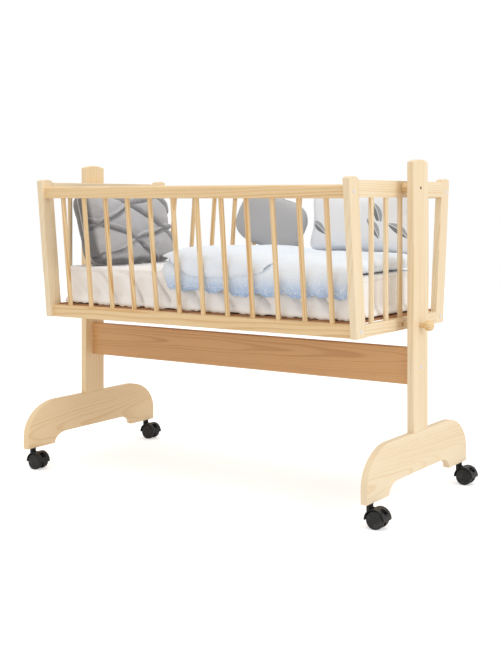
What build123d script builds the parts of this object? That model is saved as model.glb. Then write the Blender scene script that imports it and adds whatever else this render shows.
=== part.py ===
from build123d import *
from math import atan, degrees
import os

# A wooden baby cradle: a slatted basket hung between two posts, on twin-wheel casters.
# Millimetres. X runs along the cradle, -Y is its front, +Z is up, and the floor is Z = 0.

os.makedirs("parts", exist_ok=True)

# ---- driving dimensions ----
SPAN = 1000.0            # over the outer faces of the posts
BOARD = 17.0             # thickness of posts, feet and end frames
POST_WIDTH = 74.0
POST_SHOULDER = 780.0
POST_PEAK = 786.0
FOOT_HALF = 257.5
FOOT_LOW = 52.0
FOOT_TOP = 167.0
FOOT_SPRING = 84.0       # height at which a foot's end starts to curve
FOOT_CURVE = 110.0       # how far that curve reaches inwards
ARCH_HALF = 112.0        # half length of the flat under a foot
ARCH_TOP = 78.0
PAD_INNER = 157.0        # inner edge of a foot's end pad
STRETCHER_LOW = 271.0
STRETCHER_TALL = 85.0
STRETCHER_THICK = 20.0
EDGE = 1.6               # rounding of the boards' long edges
DOWEL_R = 4.0
DOWEL_APART = 22.0       # post dowels, from the post's middle
BOLT_BORE = 3.5          # radius of the stretcher bolts' bores
NUT_R = 5.0
NUT_IN = 34.0            # cross nut, in from a post's inner face
HEAD_R = 4.5             # stretcher bolt's head
SCREW_BORE = 2.5

BASKET = 910.0           # length over the end frames
CORNER_WIDTH = 41.0
CORNER_LOW = 393.0
CORNER_TOP = 745.0
HALF_LOW = 220.0         # half width over the corner posts at the bottom
HALF_TOP = 256.0         # and at the top
END_TOP_RAIL = (699.0, 737.5)
END_LOW_RAIL = (394.5, 422.0)
SIDE_THICK = 20.0
SIDE_TOP_RAIL = (698.0, 727.0)
SIDE_LOW_RAIL = (394.0, 423.0)
SIDE_SET = 19.0          # side panel's middle, behind the corner posts' outer edge
ROD = 12.0               # diameter of the spindles
PITCH = 70.0             # spacing of the spindles
SIDE_RODS = 12
END_RODS = 5
TENON = 8.0              # how far a spindle enters a rail

PIVOT_Z = 721.0
LOCK_Z = 408.0
BOLT_Z = 312.0
PIVOT_BOLT = 6.0
PEG_SHAFT = 8.0
PEG_BALL = 25.0
PEG_OUT = 20.0           # ball's centre, outside the post

STEM_IN = 26.5           # caster stem, in from a foot's end
STEM_R = 4.0
STEM_FOOT = 40.0         # underside of a caster's stem
SOCKET_R = 5.5
SOCKET_DEEP = 36.0
FLANGE = 1.4             # thickness of a socket's flange
BOSS_FOOT = 38.5         # underside of the boss round a stem
WEB_HALF = 3.0           # half thickness of the web between a caster's wheels
WHEEL_R = 20.0
TRAIL = 18.5             # caster axle, behind its stem
HOOD_R = 24.0
HOOD_HALF = 18.0         # half width of a caster's hood
FIT = 0.08               # radial clearance of a pin or shaft that turns or slides

BASE_Z = 423.0           # underside of the base panel
BASE_THICK = 4.0
MATTRESS = (856.0, 372.0, 97.0)
SOFT_GAP = 0.5           # air left between soft pieces

# ---- sizes worked out from them ----
POST_IN = SPAN / 2 - BOARD
END_OUT = BASKET / 2
END_IN = END_OUT - BOARD
LEAN = (HALF_TOP - HALF_LOW) / (CORNER_TOP - CORNER_LOW)
LEAN_ANGLE = degrees(atan(LEAN))
STEM_Y = FOOT_HALF - STEM_IN
STEM_X = SPAN / 2 - BOARD / 2
MATTRESS_LOW = BASE_Z + BASE_THICK + SOFT_GAP
MATTRESS_TOP = MATTRESS_LOW + MATTRESS[2]
SIDES = {"front": -1, "back": 1}
ENDS = {"left": -1, "right": 1}
ROD_ROW = [(i - (SIDE_RODS - 1) / 2) * PITCH for i in range(SIDE_RODS)]
ROD_END_ROW = [(i - (END_RODS - 1) / 2) * PITCH for i in range(END_RODS)]


def half_width(z):
    """Half width over the corner posts at height z."""
    return HALF_LOW + LEAN * (z - CORNER_LOW)


def side_middle(z):
    """Distance from the middle of the basket to a side panel at height z."""
    return half_width(z) - SIDE_SET


def mid(pair):
    return (pair[0] + pair[1]) / 2


def save(piece, name):
    piece.part.label = name
    export_step(piece.part, f"parts/{name}.step")


# ---- stand: posts, feet and stretcher ----
for end, way in ENDS.items():
    inner = way * POST_IN
    outward = Plane.YZ.offset(min(inner, way * SPAN / 2))

    with BuildPart() as post:
        with BuildSketch(outward):
            with BuildLine():
                Polyline(
                    (-POST_WIDTH / 2, POST_SHOULDER),
                    (-POST_WIDTH / 2, FOOT_TOP),
                    (POST_WIDTH / 2, FOOT_TOP),
                    (POST_WIDTH / 2, POST_SHOULDER),
                )
                ThreePointArc(
                    (POST_WIDTH / 2, POST_SHOULDER),
                    (0, POST_PEAK),
                    (-POST_WIDTH / 2, POST_SHOULDER),
                )
            make_face()
        extrude(amount=BOARD)
        rim = post.edges().filter_by(Axis.Z)
        arch = post.edges().filter_by(GeomType.CIRCLE)
        fillet(rim + arch, EDGE)
        # through bores for the pivot bolt, the peg and the stretcher bolt
        with Locations(Plane.YZ):
            with Locations((0, PIVOT_Z)):
                Cylinder(PIVOT_BOLT / 2, 3 * SPAN, mode=Mode.SUBTRACT)
            with Locations((0, LOCK_Z)):
                Cylinder(PEG_SHAFT / 2 + FIT, 3 * SPAN, mode=Mode.SUBTRACT)
            with Locations((0, BOLT_Z)):
                Cylinder(BOLT_BORE, 3 * SPAN, mode=Mode.SUBTRACT)
        # seat of the threaded insert, in the inner face
        with Locations(Plane.YZ.offset(inner + way * 6)):
            with Locations((0, PIVOT_Z)):
                Cylinder(5, 12, mode=Mode.SUBTRACT)
        # countersink of the stretcher bolt's head, in the outer face
        with Locations(Plane.YZ.offset(way * SPAN / 2)):
            with Locations((0, BOLT_Z)):
                Cylinder(HEAD_R, 8, mode=Mode.SUBTRACT)
        # bores for the dowels into the foot
        with Locations((way * STEM_X, -DOWEL_APART, FOOT_TOP), (way * STEM_X, DOWEL_APART, FOOT_TOP)):
            Cylinder(DOWEL_R, 50, mode=Mode.SUBTRACT)
    save(post, f"{end}_post")

    with BuildPart() as foot:
        with BuildSketch(outward):
            with BuildLine():
                Line((-ARCH_HALF, ARCH_TOP), (ARCH_HALF, ARCH_TOP))
                for side in (-1, 1):
                    curve_y = side * (FOOT_HALF - FOOT_CURVE)
                    EllipticalCenterArc(
                        (side * ARCH_HALF, FOOT_LOW),
                        PAD_INNER - ARCH_HALF,
                        ARCH_TOP - FOOT_LOW,
                        start_angle=0 if side > 0 else 90,
                        arc_size=90,
                    )
                    Polyline(
                        (side * PAD_INNER, FOOT_LOW),
                        (side * FOOT_HALF, FOOT_LOW),
                        (side * FOOT_HALF, FOOT_SPRING),
                    )
                    EllipticalCenterArc(
                        (curve_y, FOOT_SPRING),
                        FOOT_CURVE,
                        FOOT_TOP - FOOT_SPRING,
                        start_angle=0 if side > 0 else 90,
                        arc_size=90,
                    )
                Line((-FOOT_HALF + FOOT_CURVE, FOOT_TOP), (FOOT_HALF - FOOT_CURVE, FOOT_TOP))
            make_face()
        extrude(amount=BOARD)
        chamfer(foot.faces().filter_by(Axis.X).edges(), 0.7 * EDGE)
        # dowel bores under the post and a socket bore over each caster
        with Locations((way * STEM_X, -DOWEL_APART, FOOT_TOP), (way * STEM_X, DOWEL_APART, FOOT_TOP)):
            Cylinder(DOWEL_R, 50, mode=Mode.SUBTRACT)
        with Locations((way * STEM_X, -STEM_Y, FOOT_LOW), (way * STEM_X, STEM_Y, FOOT_LOW)):
            Cylinder(SOCKET_R, 2 * SOCKET_DEEP, mode=Mode.SUBTRACT)
    save(foot, f"{end}_foot")

with BuildPart() as stretcher:
    with Locations((0, 0, STRETCHER_LOW + STRETCHER_TALL / 2)):
        Box(2 * POST_IN, STRETCHER_THICK, STRETCHER_TALL)
    fillet(stretcher.edges().filter_by(Axis.X), 2.5)
    with Locations((-POST_IN, 0, BOLT_Z), (POST_IN, 0, BOLT_Z)):
        Cylinder(BOLT_BORE, 100, rotation=(0, 90, 0), mode=Mode.SUBTRACT)
    # blind bores in the back face for the cross nuts
    with Locations((-POST_IN + NUT_IN, 3, BOLT_Z), (POST_IN - NUT_IN, 3, BOLT_Z)):
        Cylinder(NUT_R, 15, rotation=(90, 0, 0), mode=Mode.SUBTRACT)
save(stretcher, "stretcher")

# ---- stand: fasteners ----
with BuildPart() as dowels:
    for way in ENDS.values():
        with Locations((way * STEM_X, -DOWEL_APART, FOOT_TOP), (way * STEM_X, DOWEL_APART, FOOT_TOP)):
            Cylinder(DOWEL_R, 48)
save(dowels, "post_dowels")

with BuildPart() as bolts:
    for way in ENDS.values():
        # flush head in its countersink, shank through the post into the cross nut
        with BuildSketch(Plane.YZ.offset(way * (SPAN / 2 - 1))):
            with Locations((0, BOLT_Z)):
                Circle(HEAD_R)
                RegularPolygon(2, 6, mode=Mode.SUBTRACT)
        extrude(amount=-way * 3)
        with BuildSketch(Plane.YZ.offset(way * (SPAN / 2 - 4))):
            with Locations((0, BOLT_Z)):
                Circle(3)
        extrude(amount=-way * 56)
        # cross nut round the bolt's end
        with Locations((way * (POST_IN - NUT_IN), 2, BOLT_Z)):
            Cylinder(NUT_R, 13, rotation=(90, 0, 0))
save(bolts, "stretcher_bolts_and_nuts")

# one domed plastic cap, looking up; copies of it cover the screws and bolts
with BuildPart() as dome:
    with BuildSketch(Plane.XY):
        Circle(4.4)
    extrude(amount=1.2)
    fillet(dome.faces().sort_by(Axis.Z)[-1].edges(), 0.8)

with BuildPart() as bolt_caps:
    with Locations([Location((way * SPAN / 2, 0, BOLT_Z), (0, way * 90, 0)) for way in ENDS.values()]):
        add(dome.part)
save(bolt_caps, "stretcher_bolt_caps")

with BuildPart() as inserts:
    for way in ENDS.values():
        with BuildSketch(Plane.YZ.offset(way * POST_IN)):
            with Locations((0, PIVOT_Z)):
                Circle(5)
                Circle(PIVOT_BOLT / 2, mode=Mode.SUBTRACT)
        extrude(amount=way * 12)
save(inserts, "pivot_inserts")

SPACER_FROM = END_OUT + 1.0
with BuildPart() as spacers:
    for way in ENDS.values():
        with BuildSketch(Plane.YZ.offset(way * SPACER_FROM)):
            with Locations((0, PIVOT_Z)):
                Circle(11)
                Circle(PIVOT_BOLT / 2, mode=Mode.SUBTRACT)
        extrude(amount=way * (POST_IN - SPACER_FROM))
save(spacers, "pivot_spacers")

PIVOT_HEAD = END_IN - 1.5
with BuildPart() as pivot_bolts:
    for way in ENDS.values():
        # shank from the head inside the basket to the end of the insert
        with BuildSketch(Plane.YZ.offset(way * PIVOT_HEAD)):
            with Locations((0, PIVOT_Z)):
                Circle(PIVOT_BOLT / 2)
        extrude(amount=way * (POST_IN + 12 - PIVOT_HEAD))
        with BuildSketch(Plane.YZ.offset(way * PIVOT_HEAD)):
            with Locations((0, PIVOT_Z)):
                Circle(6.5)
        extrude(amount=-way * 4)
        with BuildSketch(Plane.YZ.offset(way * (PIVOT_HEAD - 4))):
            with Locations((0, PIVOT_Z)):
                RegularPolygon(2.5, 6)
        extrude(amount=way * 2.5, mode=Mode.SUBTRACT)
save(pivot_bolts, "pivot_bolts")

# ---- basket: end frames ----
BUSH_R = 5.0
for end, way in ENDS.items():
    frame_plane = Plane.YZ.offset(min(way * END_IN, way * END_OUT))

    for side, hand in SIDES.items():
        with BuildPart() as corner:
            with BuildSketch(frame_plane):
                with BuildLine():
                    outer_low = (hand * HALF_LOW, CORNER_LOW)
                    inner_low = (hand * (HALF_LOW - CORNER_WIDTH), CORNER_LOW)
                    shoulder = CORNER_TOP - 4
                    outer_top = (hand * half_width(shoulder), shoulder)
                    inner_top = (hand * (half_width(shoulder) - CORNER_WIDTH), shoulder)
                    crown = (hand * (half_width(CORNER_TOP) - CORNER_WIDTH / 2), CORNER_TOP)
                    Polyline(inner_top, inner_low, outer_low, outer_top)
                    ThreePointArc(outer_top, crown, inner_top)
                make_face()
            extrude(amount=BOARD)
            fillet(corner.edges().filter_by(Axis.X, reverse=True), EDGE)
            # bores for the screws into the side rails
            for z in (mid(SIDE_TOP_RAIL), mid(SIDE_LOW_RAIL)):
                with Locations((way * END_IN, hand * side_middle(z), z)):
                    Cylinder(2.5, 60, rotation=(0, 90, 0), mode=Mode.SUBTRACT)
                with Locations((way * END_OUT, hand * side_middle(z), z)):
                    Cylinder(4, 8, rotation=(0, 90, 0), mode=Mode.SUBTRACT)
            # blind bores for the dowels of the end rails
            for z in (mid(END_TOP_RAIL), mid(END_LOW_RAIL)):
                joint_y = half_width(z) - CORNER_WIDTH
                with Locations((way * (END_IN + BOARD / 2), hand * joint_y, z)):
                    Cylinder(DOWEL_R, 40, rotation=(90, 0, 0), mode=Mode.SUBTRACT)
        save(corner, f"{side}_{end}_corner_post")

    for level, band in {"top": END_TOP_RAIL, "bottom": END_LOW_RAIL}.items():
        with BuildPart() as rail:
            with BuildSketch(frame_plane):
                with BuildLine():
                    low_y = half_width(band[0]) - CORNER_WIDTH
                    high_y = half_width(band[1]) - CORNER_WIDTH
                    Polyline(
                        (-low_y, band[0]),
                        (low_y, band[0]),
                        (high_y, band[1]),
                        (-high_y, band[1]),
                        close=True,
                    )
                make_face()
            extrude(amount=BOARD)
            fillet(rail.edges().filter_by(Axis.Y), EDGE)
            joint_y = half_width(mid(band)) - CORNER_WIDTH
            for hand in SIDES.values():
                with Locations((way * (END_IN + BOARD / 2), hand * joint_y, mid(band))):
                    Cylinder(DOWEL_R, 40, rotation=(90, 0, 0), mode=Mode.SUBTRACT)
            # spindle mortises
            mouth = band[0] if level == "top" else band[1]
            with Locations([(way * (END_IN + BOARD / 2), y, mouth) for y in ROD_END_ROW]):
                Cylinder(ROD / 2, 2 * TENON, mode=Mode.SUBTRACT)
            # bore of the pivot bush, or of the lock peg
            if level == "top":
                with Locations((way * END_OUT, 0, PIVOT_Z)):
                    Cylinder(BUSH_R, 3 * BOARD, rotation=(0, 90, 0), mode=Mode.SUBTRACT)
            else:
                with Locations((way * END_OUT, 0, LOCK_Z - 0.5)):
                    Cylinder(4.5, 24, rotation=(0, 90, 0), mode=Mode.SUBTRACT)
        save(rail, f"{end}_{level}_rail")

    with BuildPart() as end_rods:
        rod_low = END_LOW_RAIL[1] - TENON
        rod_high = END_TOP_RAIL[0] + TENON
        with Locations([(way * (END_IN + BOARD / 2), y, (rod_low + rod_high) / 2) for y in ROD_END_ROW]):
            Cylinder(ROD / 2, rod_high - rod_low)
    save(end_rods, f"{end}_spindles")

with BuildPart() as end_dowels:
    for way in ENDS.values():
        for hand in SIDES.values():
            for z in (mid(END_TOP_RAIL), mid(END_LOW_RAIL)):
                joint_y = half_width(z) - CORNER_WIDTH
                with Locations((way * (END_IN + BOARD / 2), hand * joint_y, z)):
                    Cylinder(DOWEL_R, 38, rotation=(90, 0, 0))
save(end_dowels, "end_frame_dowels")

with BuildPart() as bushes:
    for way in ENDS.values():
        with BuildSketch(Plane.YZ.offset(way * END_IN)):
            with Locations((0, PIVOT_Z)):
                Circle(BUSH_R)
                Circle(PIVOT_BOLT / 2 + FIT, mode=Mode.SUBTRACT)
        extrude(amount=way * BOARD)
save(bushes, "pivot_bushes")

# ---- basket: leaning side panels ----
for side, hand in SIDES.items():
    for level, band in {"top": SIDE_TOP_RAIL, "bottom": SIDE_LOW_RAIL}.items():
        panel = Plane(
            origin=(0, hand * side_middle(mid(band)), mid(band)),
            x_dir=(1, 0, 0),
            z_dir=Vector(0, -1, 0).rotate(Axis.X, -hand * LEAN_ANGLE),
        )
        tall = band[1] - band[0]
        with BuildPart(panel) as rail:
            Box(2 * END_IN, tall, SIDE_THICK)
            top_edges = rail.edges().filter_by(Axis.X).sort_by(Axis.Z)[2:]
            low_edges = rail.edges().filter_by(Axis.X).sort_by(Axis.Z)[:2]
            fillet(top_edges, 5)
            fillet(low_edges, EDGE)
            mouth = -tall / 2 if level == "top" else tall / 2
            with Locations([(x, mouth, 0) for x in ROD_ROW]):
                Cylinder(ROD / 2, 2 * TENON, rotation=(90, 0, 0), mode=Mode.SUBTRACT)
            with Locations((-END_IN, 0, 0), (END_IN, 0, 0)):
                Cylinder(SCREW_BORE, 70, rotation=(0, 90, 0), mode=Mode.SUBTRACT)
        save(rail, f"{side}_{level}_rail")

    low = SIDE_LOW_RAIL[1] - TENON
    high = SIDE_TOP_RAIL[0] + TENON
    rod_plane = Plane(
        origin=(0, hand * side_middle((low + high) / 2), (low + high) / 2),
        x_dir=(1, 0, 0),
        z_dir=Vector(0, -1, 0).rotate(Axis.X, -hand * LEAN_ANGLE),
    )
    with BuildPart(rod_plane) as side_rods:
        with Locations([(x, 0, 0) for x in ROD_ROW]):
            Cylinder(ROD / 2, high - low, rotation=(90, 0, 0))
    save(side_rods, f"{side}_spindles")

with BuildPart() as corner_screws:
    for way in ENDS.values():
        for hand in SIDES.values():
            for z in (mid(SIDE_TOP_RAIL), mid(SIDE_LOW_RAIL)):
                spot = (hand * side_middle(z), z)
                with BuildSketch(Plane.YZ.offset(way * (END_OUT - 1))):
                    with Locations(spot):
                        Circle(4)
                        RegularPolygon(2, 6, mode=Mode.SUBTRACT)
                extrude(amount=-way * 3)
                with BuildSketch(Plane.YZ.offset(way * (END_OUT - 4))):
                    with Locations(spot):
                        Circle(2.5)
                extrude(amount=-way * 46)
save(corner_screws, "corner_screws")

with BuildPart() as screw_caps:
    for way in ENDS.values():
        for hand in SIDES.values():
            for z in (mid(SIDE_TOP_RAIL), mid(SIDE_LOW_RAIL)):
                with Locations(Location((way * END_OUT, hand * side_middle(z), z), (0, way * 90, 0))):
                    add(dome.part)
save(screw_caps, "corner_screw_caps")

# ---- basket: base ----
LEDGER_TALL = 20.0
LEDGER_DEEP = 16.0
with BuildPart() as ledgers:
    for hand in SIDES.values():
        with BuildSketch(Plane.YZ.offset(-END_IN + 1)):
            with BuildLine():
                low_y = side_middle(BASE_Z - LEDGER_TALL) - SIDE_THICK / 2 - 0.3
                high_y = side_middle(BASE_Z) - SIDE_THICK / 2 - 0.3
                inner_y = low_y - LEDGER_DEEP
                Polyline(
                    (hand * inner_y, BASE_Z - LEDGER_TALL),
                    (hand * low_y, BASE_Z - LEDGER_TALL),
                    (hand * high_y, BASE_Z),
                    (hand * inner_y, BASE_Z),
                    close=True,
                )
            make_face()
        extrude(amount=2 * END_IN - 2)
    # battens across, between the ledgers
    with Locations([(x, 0, BASE_Z - 7) for x in (-330, -110, 110, 330)]):
        Box(45, 2 * inner_y - 0.6, 14)
save(ledgers, "base_ledgers_and_battens")

with BuildPart() as base:
    with Locations((0, 0, BASE_Z + BASE_THICK / 2)):
        Box(2 * END_IN - 4, 380, BASE_THICK)
save(base, "base_panel")

# ---- bedding: simple closed forms in the soft pieces' places ----
with BuildPart() as mattress:
    with Locations((0, 0, MATTRESS_LOW + MATTRESS[2] / 2)):
        Box(*MATTRESS)
    fillet(mattress.edges(), 12)
save(mattress, "mattress")

QUILT_LOW = MATTRESS_TOP + SOFT_GAP
QUILT_TOP = QUILT_LOW + 40
QUILT_FROM = -125.0
QUILT_TO = 428.0
QUILT_HEM = 467.0        # lower edge of the part that hangs over the front
with BuildPart() as quilt:
    with BuildSketch(Plane.YZ.offset(QUILT_FROM)):
        with BuildLine():
            Polyline(
                (178, QUILT_LOW),
                (-MATTRESS[1] / 2 - SOFT_GAP, QUILT_LOW),
                (-MATTRESS[1] / 2 - SOFT_GAP, QUILT_HEM),
                (-196, QUILT_HEM),
                (-203, QUILT_LOW),
                (-199, QUILT_TOP),
                (178, QUILT_TOP),
                close=True,
            )
        make_face()
    extrude(amount=QUILT_TO - QUILT_FROM)
    fillet(quilt.edges().filter_by(Axis.X).sort_by(Axis.Z)[-2:], 9)
save(quilt, "quilt")


def cushion_plane(x, y, z, turn, tip):
    """Frame at a cushion's middle: its face looks along local Z, its top along local Y."""
    return Plane(Location((x, y, z), (0, 0, turn)) * Location((0, 0, 0), (90 - tip, 0, 0)))


def cushion(frame, wide, tall, thick, roll, name):
    with BuildPart(frame) as pad:
        with BuildSketch(frame):
            with Locations(Location((0, 0, 0), (0, 0, roll))):
                RectangleRounded(wide, tall, 28)
        extrude(amount=thick / 2, both=True)
        through = Axis(frame.origin, frame.z_dir)
        rims = pad.faces().sort_by(through)[0].edges() + pad.faces().sort_by(through)[-1].edges()
        fillet(rims, thick * 0.3)
    save(pad, name)


cushion(cushion_plane(-362, 0, 637, 90, 16), 330, 205, 76, 0, "pintuck_cushion")
cushion(cushion_plane(-7, 160, 656, 0, 7), 200, 122, 66, -22, "plain_cushion")
cushion(cushion_plane(270, 165, 647, 0, 8), 300, 152, 62, 0, "leaf_pillow")

# ---- lock pegs ----
for end, way in ENDS.items():
    with BuildPart() as peg:
        with BuildSketch(Plane.YZ.offset(way * (END_OUT + 2))):
            with Locations((0, LOCK_Z)):
                Circle(PEG_SHAFT / 2)
        extrude(amount=way * (SPAN / 2 + PEG_OUT - END_OUT - 2))
        with BuildSketch(Plane.YZ.offset(way * (SPAN / 2 + 1))):
            with Locations((0, LOCK_Z)):
                Circle(6.5)
        extrude(amount=way * (PEG_OUT - 4))
        with Locations((way * (SPAN / 2 + PEG_OUT), 0, LOCK_Z)):
            Sphere(PEG_BALL / 2)
    save(peg, f"{end}_lock_peg")

# ---- casters ----
CASTERS = {
    f"{side}_{end}": (way * STEM_X, hand * STEM_Y)
    for end, way in ENDS.items()
    for side, hand in SIDES.items()
}

with BuildPart() as sockets:
    for x, y in CASTERS.values():
        with BuildSketch(Plane.XY.offset(FOOT_LOW)):
            with Locations((x, y)):
                Circle(SOCKET_R)
                Circle(STEM_R, mode=Mode.SUBTRACT)
        extrude(amount=SOCKET_DEEP)
        with BuildSketch(Plane.XY.offset(FOOT_LOW - FLANGE)):
            with Locations((x, y)):
                Circle(8)
                Circle(STEM_R, mode=Mode.SUBTRACT)
        extrude(amount=FLANGE)
save(sockets, "caster_sockets")

with BuildPart() as stems:
    for x, y in CASTERS.values():
        with BuildSketch(Plane.XY.offset(STEM_FOOT)):
            with Locations((x, y)):
                Circle(STEM_R)
        extrude(amount=FOOT_LOW + SOCKET_DEEP - 2 - STEM_FOOT)
save(stems, "caster_stems")

TREAD_IN = 3.6           # a wheel's inner and outer faces, from the caster's middle
TREAD_OUT = 17.2
LEVER_HALF = 5.6
LEVER_PIN = (11.8, 19.3)  # brake lever's pivot, from the axle in X and Z
AXLE_R = 2.5

for name, (x, y) in CASTERS.items():
    side_plane = Plane.XZ.offset(-y)
    axle = (x + TRAIL, WHEEL_R)
    with BuildPart() as housing:
        # hood: a band over the wheels, from in front of them to behind
        with BuildSketch(side_plane):
            with Locations(axle):
                Circle(HOOD_R)
                Circle(WHEEL_R + 1.3, mode=Mode.SUBTRACT)
            with Locations((x + TRAIL, -4)):
                Rectangle(3 * HOOD_R, 46, mode=Mode.SUBTRACT)
        extrude(amount=HOOD_HALF, both=True)
        # web between the wheels
        with BuildSketch(side_plane):
            with Locations(axle):
                Circle(WHEEL_R + 2)
            with Locations((x + TRAIL, -12)):
                Rectangle(3 * HOOD_R, 46, mode=Mode.SUBTRACT)
        extrude(amount=WEB_HALF, both=True)
        # boss round the stem
        with BuildSketch(Plane.XY.offset(BOSS_FOOT)):
            with Locations((x, y)):
                Circle(7.5)
        extrude(amount=FOOT_LOW - FLANGE - 0.4 - BOSS_FOOT)
        with BuildSketch(side_plane):
            with BuildLine():
                Polyline(
                    (x - 6.8, 30),
                    (x - 6.8, 46),
                    (x + 16, 43),
                    (x + 16, 38),
                    (x + 2, 36),
                    close=True,
                )
            make_face()
        extrude(amount=WEB_HALF, both=True)
        # room for the stem, the axle and the brake lever
        with Locations((x, y, 52)):
            Cylinder(STEM_R + FIT, 25, mode=Mode.SUBTRACT)
        with Locations((axle[0], y, axle[1])):
            Cylinder(AXLE_R, 40, rotation=(90, 0, 0), mode=Mode.SUBTRACT)
        with Locations((axle[0] + LEVER_PIN[0], y, WHEEL_R + LEVER_PIN[1])):
            Cylinder(1 + FIT, 2 * LEVER_HALF + 4.4, rotation=(90, 0, 0), mode=Mode.SUBTRACT)
        with Locations((axle[0] + 14.5, y, WHEEL_R + 16)):
            Box(15, 2 * LEVER_HALF + 1.8, 14, rotation=(0, 45, 0), mode=Mode.SUBTRACT)
    save(housing, f"{name}_caster_housing")

    with BuildPart() as axle_pin:
        with Locations((axle[0], y, axle[1])):
            Cylinder(AXLE_R, 30, rotation=(90, 0, 0))
    save(axle_pin, f"{name}_caster_axle")

    for which, face in {"a": -1, "b": 1}.items():
        # dished wheel with a crowned tread, a hub and a blind axle bore
        with BuildPart() as wheel:
            with BuildSketch(Plane.XY):
                with BuildLine():
                    Polyline(
                        (AXLE_R + FIT, TREAD_IN),
                        (6, TREAD_IN),
                        (6, TREAD_OUT - 3),
                        (WHEEL_R - 3.5, TREAD_OUT - 3),
                        (WHEEL_R - 3.5, TREAD_IN + 0.4),
                        (WHEEL_R - 0.8, TREAD_IN + 0.4),
                    )
                    ThreePointArc(
                        (WHEEL_R - 0.8, TREAD_IN + 0.4),
                        (WHEEL_R, (TREAD_IN + TREAD_OUT) / 2),
                        (WHEEL_R - 0.8, TREAD_OUT - 0.6),
                    )
                    Polyline(
                        (WHEEL_R - 0.8, TREAD_OUT - 0.6),
                        (WHEEL_R - 1.6, TREAD_OUT),
                        (0, TREAD_OUT),
                        (0, 15.4),
                        (AXLE_R + FIT, 15.4),
                        (AXLE_R + FIT, TREAD_IN),
                    )
                make_face()
            revolve(axis=Axis.Y)
        if face < 0:
            turned = wheel.part.mirror(Plane.XZ)
        else:
            turned = wheel.part
        placed = Pos(axle[0], y, axle[1]) * turned
        placed.label = f"{name}_caster_wheel_{which}"
        export_step(placed, f"parts/{name}_caster_wheel_{which}.step")

    if name.endswith("right"):
        # brake lever: a tab that stands out of the slot behind the hood's crown
        with BuildPart() as lever:
            with BuildSketch(side_plane):
                with BuildLine():
                    Polyline(
                        (axle[0] + 9.2, 38.9),
                        (axle[0] + 13.0, 36.9),
                        (axle[0] + 16.5, 37.6),
                        (axle[0] + 21.0, 42.2),
                        (axle[0] + 19.6, 44.0),
                        (axle[0] + 13.2, 41.6),
                        close=True,
                    )
                make_face()
            extrude(amount=LEVER_HALF, both=True)
            with Locations((axle[0] + LEVER_PIN[0], y, WHEEL_R + LEVER_PIN[1])):
                Cylinder(1, 2 * LEVER_HALF + 4, rotation=(90, 0, 0))
        save(lever, f"{name}_brake_lever")
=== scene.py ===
import bpy
import bmesh
import math
import numpy as np
from mathutils import Matrix, Vector, noise
from mathutils.bvhtree import BVHTree


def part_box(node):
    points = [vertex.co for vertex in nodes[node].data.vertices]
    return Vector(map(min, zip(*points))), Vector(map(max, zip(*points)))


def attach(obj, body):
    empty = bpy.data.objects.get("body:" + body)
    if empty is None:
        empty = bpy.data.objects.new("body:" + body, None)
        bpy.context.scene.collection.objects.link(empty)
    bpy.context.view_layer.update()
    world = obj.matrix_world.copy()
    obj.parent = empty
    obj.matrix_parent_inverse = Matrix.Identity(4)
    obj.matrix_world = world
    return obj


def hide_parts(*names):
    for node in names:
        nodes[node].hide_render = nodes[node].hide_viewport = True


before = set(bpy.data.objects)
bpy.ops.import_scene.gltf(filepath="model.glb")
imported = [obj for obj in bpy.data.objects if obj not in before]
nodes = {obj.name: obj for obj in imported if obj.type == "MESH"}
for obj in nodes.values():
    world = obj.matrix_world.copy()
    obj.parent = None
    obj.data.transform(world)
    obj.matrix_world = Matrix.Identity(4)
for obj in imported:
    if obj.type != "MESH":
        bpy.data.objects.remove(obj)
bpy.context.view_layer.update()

# ---------------------------------------------------------------- node helpers


def put(tree, kind, sockets=None, **settings):
    """Add a shader node. sockets maps an input to a value, or to the output that feeds it."""
    node = tree.nodes.new("ShaderNode" + kind)
    for name, value in settings.items():
        setattr(node, name, value)
    for key, value in (sockets or {}).items():
        if isinstance(value, bpy.types.NodeSocket):
            tree.links.new(value, node.inputs[key])
        else:
            node.inputs[key].default_value = value
    return node


def sums(tree, operation, a, b=0.0, c=0.0):
    """Output of a Math node."""
    return put(tree, "Math", {0: a, 1: b, 2: c}, operation=operation).outputs[0]


def fade(tree, value, low, high, to_low=0.0, to_high=1.0):
    """value moved smoothly from the range low..high to the range to_low..to_high."""
    sockets = {"Value": value, "From Min": low, "From Max": high, "To Min": to_low, "To Max": to_high}
    return put(tree, "MapRange", sockets, interpolation_type="SMOOTHSTEP").outputs["Result"]


def blend_colors(tree, factor, a, b, how="MIX"):
    """Output of a colour Mix node."""
    node = put(tree, "Mix", data_type="RGBA", blend_type=how)
    for key, value in ((0, factor), (6, a), (7, b)):
        if isinstance(value, bpy.types.NodeSocket):
            tree.links.new(value, node.inputs[key])
        else:
            node.inputs[key].default_value = value
    return node.outputs[2]


def group_tree(name, inputs, outputs):
    """A new shader node group. inputs is (name, kind, default) and outputs is (name, kind)."""
    tree = bpy.data.node_groups.new(name, "ShaderNodeTree")
    for label, kind, default in inputs:
        socket = tree.interface.new_socket(label, in_out="INPUT", socket_type="NodeSocket" + kind)
        if default is not None:
            socket.default_value = default
    for label, kind in outputs:
        tree.interface.new_socket(label, in_out="OUTPUT", socket_type="NodeSocket" + kind)
    start = tree.nodes.new("NodeGroupInput")
    end = tree.nodes.new("NodeGroupOutput")
    return tree, start.outputs, end


def use_group(tree, group, sockets):
    node = put(tree, "Group", node_tree=group)
    for key, value in sockets.items():
        if isinstance(value, bpy.types.NodeSocket):
            tree.links.new(value, node.inputs[key])
        else:
            node.inputs[key].default_value = value
    return node.outputs


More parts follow.
